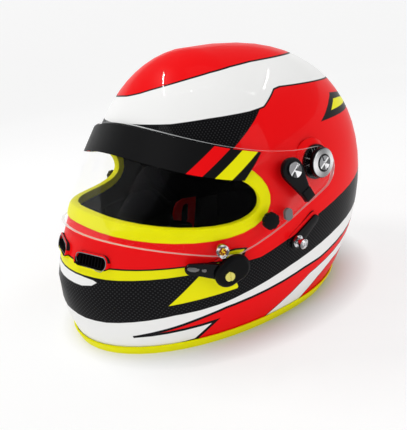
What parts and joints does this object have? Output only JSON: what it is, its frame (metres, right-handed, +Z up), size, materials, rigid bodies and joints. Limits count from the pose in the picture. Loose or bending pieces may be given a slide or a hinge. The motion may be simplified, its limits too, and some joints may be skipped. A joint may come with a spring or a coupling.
{
  "type": "full-face racing helmet",
  "caption": "Full-face racing helmet with a hinged clear visor and sun strip, side latch, chin intakes, restraint anchors, padded liner and double D-ring chin strap.",
  "frame": {"origin": "on the table, under the middle of the helmet's bounding box", "axes": "+Z up, the face looks along -Y, the wearer's left side is +X"},
  "size_m": [0.2934, 0.3385, 0.2474],
  "materials": {
    "shell_paint": "painted composite under a gloss clear coat",
    "trim_rubber": "smooth yellow rubber",
    "liner_foam": "moulded foam",
    "pad_cloth": "brushed cloth over soft foam",
    "visor_clear": "clear polycarbonate",
    "strip_film": "opaque film",
    "washer_black": "moulded plastic",
    "silver_metal": "turned and anodised",
    "chrome_metal": "polished",
    "black_metal": "black anodised",
    "black_plastic": "satin moulded plastic",
    "grey_plastic": "satin moulded plastic",
    "brass_screw": "plated",
    "webbing": "woven strap"
  },
  "bodies": {
    "helmet": {"outer_shell": "shell_paint", "eyeport_gasket": "trim_rubber", "rim_trim": "trim_rubber", "impact_liner": "liner_foam", "chin_liner": "liner_foam", "crown_pad": "pad_cloth", "cheek_pad_left": "pad_cloth", "cheek_pad_right": "pad_cloth", "neck_roll": "pad_cloth", "pivot_washer_left": "washer_black", "pivot_washer_right": "washer_black", "pivot_cap_left": "silver_metal", "pivot_cap_right": "silver_metal", "pivot_screw_left": "chrome_metal", "pivot_screw_right": "chrome_metal", "latch_base": "black_plastic", "latch_cover": "black_plastic", "latch_screw": "brass_screw", "anchor_plate_left": "black_metal", "anchor_plate_right": "black_metal", "anchor_post_left": "chrome_metal", "anchor_post_right": "chrome_metal", "vent_insert_left": "black_plastic", "vent_insert_right": "black_plastic", "chin_strap_left": "webbing", "chin_strap_right": "webbing", "strap_bolt_left": "chrome_metal", "strap_bolt_right": "chrome_metal"},
    "visor": {"visor": "visor_clear", "sun_strip": "strip_film", "visor_stud_left": "grey_plastic", "visor_stud_right": "grey_plastic", "lever_screw_left": "chrome_metal", "lever_screw_right": "chrome_metal", "catch_stud": "silver_metal"},
    "tension_lever_left": {"tension_lever_left": "black_plastic"},
    "tear_off_post_left": {"tear_off_post_left": "black_plastic"},
    "tension_lever_right": {"tension_lever_right": "black_plastic"},
    "tear_off_post_right": {"tear_off_post_right": "black_plastic"},
    "latch_arm": {"latch_lever": "black_plastic"},
    "d_ring_inner": {"d_ring_inner": "chrome_metal"},
    "d_ring_outer": {"d_ring_outer": "chrome_metal"}
  },
  "joints": [
    {"name": "visor_hinge", "type": "hinge", "parent": "helmet", "child": "visor", "pos_m": [0, 0.021, 0.14], "axis": [-1, 0, 0], "range_deg": [0, 55]},
    {"name": "tension_lever_left_turn", "type": "hinge", "parent": "visor", "child": "tension_lever_left", "pos_m": [0.13446, -0.01339, 0.14168], "axis": [0.9782, -0.0646, 0.1974], "range_deg": [-15, 25]},
    {"name": "tear_off_post_left_turn", "type": "hinge", "parent": "visor", "child": "tear_off_post_left", "pos_m": [0.13275, -0.04133, 0.10797], "axis": [0.9753, -0.221, -0.0051], "range_deg": [0, 90]},
    {"name": "tension_lever_right_turn", "type": "hinge", "parent": "visor", "child": "tension_lever_right", "pos_m": [-0.13446, -0.01339, 0.14168], "axis": [0.9782, 0.0646, -0.1974], "range_deg": [-15, 25]},
    {"name": "tear_off_post_right_turn", "type": "hinge", "parent": "visor", "child": "tear_off_post_right", "pos_m": [-0.13275, -0.04133, 0.10797], "axis": [0.9753, 0.221, 0.0051], "range_deg": [0, 90]},
    {"name": "latch_arm_turn", "type": "hinge", "parent": "helmet", "child": "latch_arm", "pos_m": [0.11801, -0.07743, 0.0712], "axis": [0.9305, -0.3585, -0.0753], "range_deg": [0, 25]},
    {"name": "d_ring_inner_swing", "type": "hinge", "parent": "helmet", "child": "d_ring_inner", "pos_m": [0.0152, -0.045, 0.036], "axis": [0, 1, 0], "range_deg": [0, 40]},
    {"name": "d_ring_outer_swing", "type": "hinge", "parent": "helmet", "child": "d_ring_outer", "pos_m": [0.019, -0.045, 0.036], "axis": [0, 1, 0], "range_deg": [-40, 0]}
  ]
}
